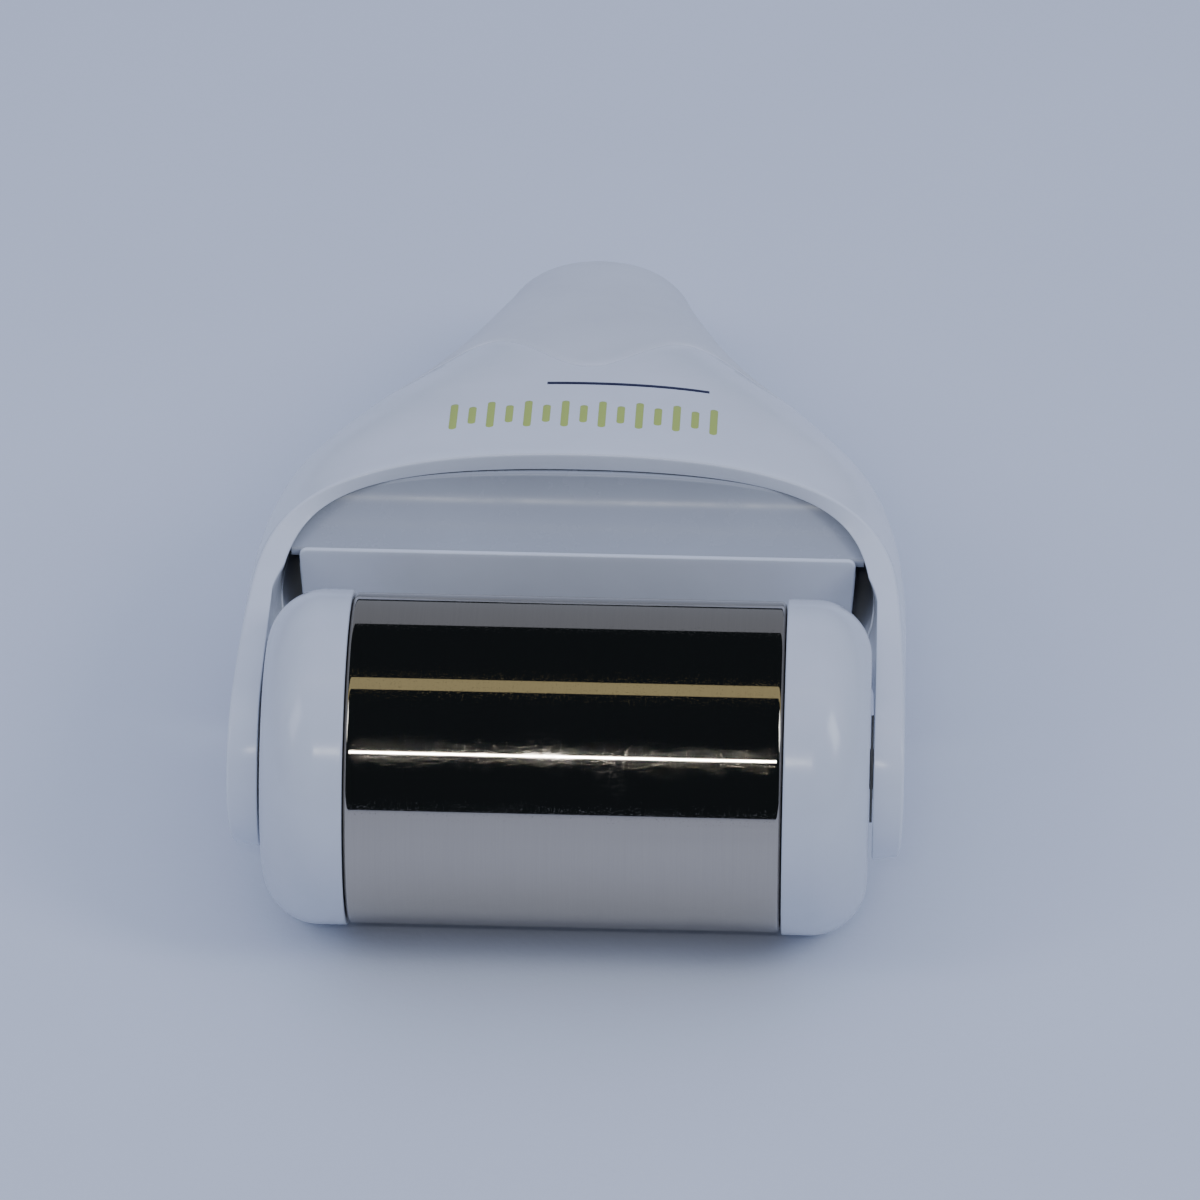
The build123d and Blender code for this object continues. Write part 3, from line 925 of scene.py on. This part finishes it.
piece("yoke_shell", shell(upper_loop()), "white_shell", instead=["upper_shell"])
piece("handle_cover", shell(grip_loop()), "grip_plastic", instead=["grip_cover"])
under = merged(shell(lower_loop(), below=True), rear_wall())
piece("handle_underside", under, "white_shell", instead=["lower_shell"])
piece("cove", coved_strip(), "bridge_plastic", instead=["front_bridge"])
piece("barrel", lathe(barrel_profile()), "polished_steel", "roller", ["roller_barrel"])
for name, side in (("left", -1), ("right", 1)):
    piece(f"cap_{name}", lathe(cap_profile(side)), "white_cap", "roller", [f"roller_cap_{name}"])

SCREW_SPOTS = [(-21.0, 60.0), (21.0, 60.0), (0.0, 104.0), (0.0, 132.0)]
PLUG_RADIUS = 2.75
plugs = merged(*[patch(disc(x, y, PLUG_RADIUS), 0.12, 0.7, 0.1, below=True) for x, y in SCREW_SPOTS])
piece("hole_plugs", plugs, "grip_plastic", instead=["screw_plugs"])

# Plain printed ornament on the crown
PRINT = {"proud": 0.03, "cell": 0.8, "radius": 0.02}
BARS, BAR_PITCH, BAR_WIDTH = 15, 2.85, 1.15
BAR_MIDDLE, BAR_LENGTHS = 61.3, (9.0, 6.0)
bars = []
for i in range(BARS):
    x = (i - (BARS - 1) / 2) * BAR_PITCH
    outline = rounded_bar(x, BAR_MIDDLE, BAR_WIDTH, BAR_LENGTHS[i % 2])
    bars.append(patch(outline, **PRINT))
piece("print_bars", merged(*bars), "white_shell", look=olive_ink)

RULE_LEFT, RULE_RIGHT, RULE_BACK, RULE_WIDTH = -6.0, 19.0, 72.0, 0.9
back = RULE_BACK + RULE_WIDTH
rule = [(RULE_LEFT, RULE_BACK), (RULE_RIGHT, RULE_BACK), (RULE_RIGHT, back), (RULE_LEFT, back)]
piece("print_rule", patch(finer(rule), **PRINT), "white_shell", look=navy_ink)


# ---- Camera: the photograph's viewing angle ----
CAMERA_RISE = 35.0  # degrees above the table
CAMERA_TURN = 2.05  # degrees towards +X
CAMERA_ROLL = 0.1
CAMERA_REACH = 1.4  # metres from the axle
VIEW_WIDTH = 0.179  # metres across the frame at the axle
AXLE_SPOT = (-0.0268, -0.135)  # where the axle's middle lies, in frame widths from the centre


def add_camera():
    data = bpy.data.cameras.new("camera")
    camera = bpy.data.objects.new("camera", data)
    bpy.context.scene.collection.objects.link(camera)
    rise, turn, roll = radians(CAMERA_RISE), radians(CAMERA_TURN), radians(CAMERA_ROLL)
    back = Vector((sin(turn) * cos(rise), -cos(turn) * cos(rise), sin(rise)))
    rotation = Quaternion(back, roll) @ back.to_track_quat("Z", "Y")
    spot = rotation @ Vector((*AXLE_SPOT, 0)) * VIEW_WIDTH
    camera.location = AXLE + back * CAMERA_REACH - spot
    camera.rotation_mode = "QUATERNION"
    camera.rotation_quaternion = rotation
    data.sensor_width = 36.0
    data.lens = data.sensor_width * CAMERA_REACH / VIEW_WIDTH
    bpy.context.scene.camera = camera


add_camera()


# ---- Stage and light ----
FLOOR = (0.70, 0.745, 0.84)


def add_floor():
    size = 2.2  # metres from the middle to an edge
    mesh = bpy.data.meshes.new("floor")
    corners = [(-size, -size, 0), (size, -size, 0), (size, size, 0), (-size, size, 0)]
    mesh.from_pydata(corners, [], [(0, 1, 2, 3)])
    floor = bpy.data.objects.new("floor", mesh)
    bpy.context.scene.collection.objects.link(floor)
    look = Look("floor", FLOOR, 0.6, IOR=1.4)
    mottle = look.ranged(look.noise(7.0, 5.0), 0.3, 0.7, 0, 1)
    look.tint(mottle, [c * 0.97 for c in FLOOR], [c * 1.02 for c in FLOOR])
    look.bump(look.noise(900.0, 3.0), 0.00005)
    mesh.materials.append(look.material)


add_floor()

LAMPS = [  # name, azimuth, rise, metres from the axle, size, watts and colour
    ("front_strip", -2.2, 39.4, 1.4, (0.175, 0.030), 1.1, (1.0, 0.99, 0.97)),
    ("left_soft", -66.0, 42.0, 1.2, (0.30, 0.50), 1.5, (0.88, 0.94, 1.0)),
    ("right_soft", 66.0, 42.0, 1.2, (0.30, 0.50), 2.8, (0.88, 0.94, 1.0)),
]


def add_lamp(name, azimuth, rise, reach, size, power, color):
    """Rectangular lamp aimed at the axle; azimuth is from the camera's side (-Y) towards +X."""
    turn, tilt = radians(azimuth), radians(rise)
    back = Vector((sin(turn) * cos(tilt), -cos(turn) * cos(tilt), sin(tilt)))
    data = bpy.data.lights.new(name, "AREA")
    data.shape = "RECTANGLE"
    data.size, data.size_y = size
    data.energy = power
    data.color = color
    lamp = bpy.data.objects.new(name, data)
    bpy.context.scene.collection.objects.link(lamp)
    lamp.location = AXLE + back * reach
    lamp.rotation_mode = "QUATERNION"
    lamp.rotation_quaternion = back.to_track_quat("Z", "Y")


for lamp in LAMPS:
    add_lamp(*lamp)

AMBIENT = (0.55, 0.61, 0.83)
HORIZON, ZENITH = 0.15, 1.45  # shares of the ambient light near the table and overhead
DARK_ROOM = (0.012, 0.016, 0.021)  # what polished surfaces see of the room
TAN_LIGHT = (0.52, 0.47, 0.28)
GREY_LIGHT = (0.25, 0.28, 0.36)
# Lights in the dark room, between two slopes y / z: a tan strip overhead, a grey wall behind
ROOM_STRIPS = [(TAN_LIGHT, -0.099, 0.058), (GREY_LIGHT, 1.33, 30.0)]


def add_world():
    """Soft pale room light.  In reflections the room is dark, with its two strips."""
    world = bpy.data.worlds.new("world")
    bpy.context.scene.world = world
    world.use_nodes = True
    nodes = Nodes(world.node_tree)
    axes = nodes.node("ShaderNodeSeparateXYZ")
    nodes.link(nodes.node("ShaderNodeTexCoord").outputs["Generated"], axes.inputs["Vector"])
    up = axes.outputs["Z"]
    slope = nodes.maths("DIVIDE", axes.outputs["Y"], up)
    above = nodes.maths("GREATER_THAN", up, 0.0)
    reflected = DARK_ROOM
    for color, low, high in ROOM_STRIPS:
        over, under = nodes.maths("GREATER_THAN", slope, low), nodes.maths("LESS_THAN", slope, high)
        inside = nodes.maths("MULTIPLY", nodes.maths("MULTIPLY", over, under), above)
        reflected = nodes.mixed(inside, reflected, color)
    low_light = [c * HORIZON for c in AMBIENT]
    high_light = [c * ZENITH for c in AMBIENT]
    room = nodes.mixed(nodes.maths("MAXIMUM", up, 0.0), low_light, high_light)
    rays = nodes.node("ShaderNodeLightPath").outputs
    seen = nodes.mixed(rays["Is Camera Ray"], room, AMBIENT)
    light = nodes.mixed(rays["Is Glossy Ray"], seen, reflected)
    nodes.link(light, world.node_tree.nodes["Background"].inputs["Color"])


add_world()
